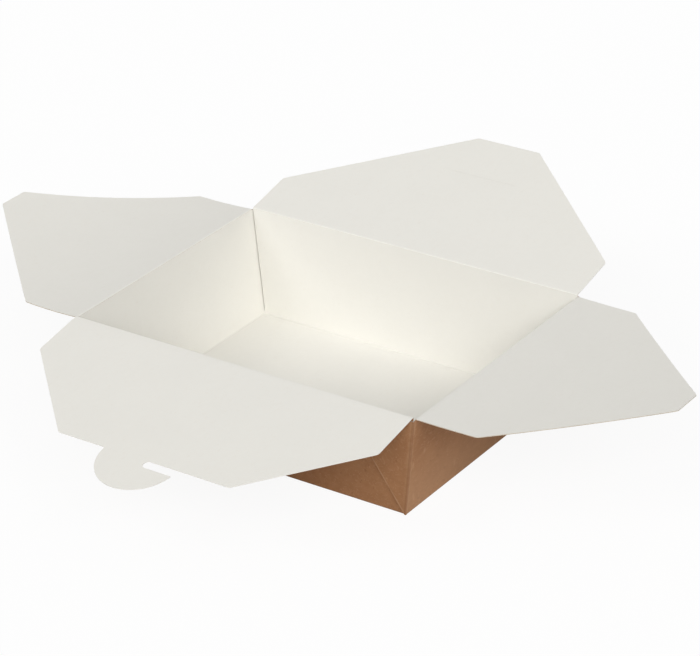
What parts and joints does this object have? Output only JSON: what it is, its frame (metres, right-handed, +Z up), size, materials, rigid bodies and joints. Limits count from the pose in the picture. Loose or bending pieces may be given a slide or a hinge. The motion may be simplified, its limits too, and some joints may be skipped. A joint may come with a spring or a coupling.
{
  "type": "takeaway box",
  "caption": "Open folded paperboard takeaway box, kraft outside and white inside, with hinged end flaps, a long back flap and a front flap with a hooked locking tab.",
  "frame": {"origin": "centre of the base's underside", "axes": "+Z up; +X along the long side towards the right end flap; -Y towards the front flap with the locking tab; flaps open at rest"},
  "size_m": [0.4308, 0.3691, 0.085],
  "materials": {
    "tray_board": "matt kraft board outside, smooth off-white coated board inside",
    "flap_board": "smooth off-white coated board on the food side, matt kraft board on the other"
  },
  "bodies": {
    "tray": {"tray": "tray_board"},
    "left_flap": {"left_flap": "flap_board"},
    "right_flap": {"right_flap": "flap_board"},
    "back_flap": {"back_flap": "flap_board"},
    "front_flap": {"front_flap": "flap_board"}
  },
  "joints": [
    {"name": "left_flap_fold", "type": "hinge", "parent": "tray", "child": "left_flap", "pos_m": [-0.10713, 0, 0.0612], "axis": [0, 1, 0], "range_deg": [-33, 183.9]},
    {"name": "right_flap_fold", "type": "hinge", "parent": "tray", "child": "right_flap", "pos_m": [0.10713, 0, 0.0612], "axis": [0, -1, 0], "range_deg": [-32, 181.5]},
    {"name": "back_flap_fold", "type": "hinge", "parent": "tray", "child": "back_flap", "pos_m": [0, 0.07976, 0.06185], "axis": [1, 0, 0], "range_deg": [-42, 167.5]},
    {"name": "front_flap_fold", "type": "hinge", "parent": "tray", "child": "front_flap", "pos_m": [0, -0.07983, 0.0625], "axis": [-1, 0, 0], "range_deg": [-20, 190.6]}
  ]
}
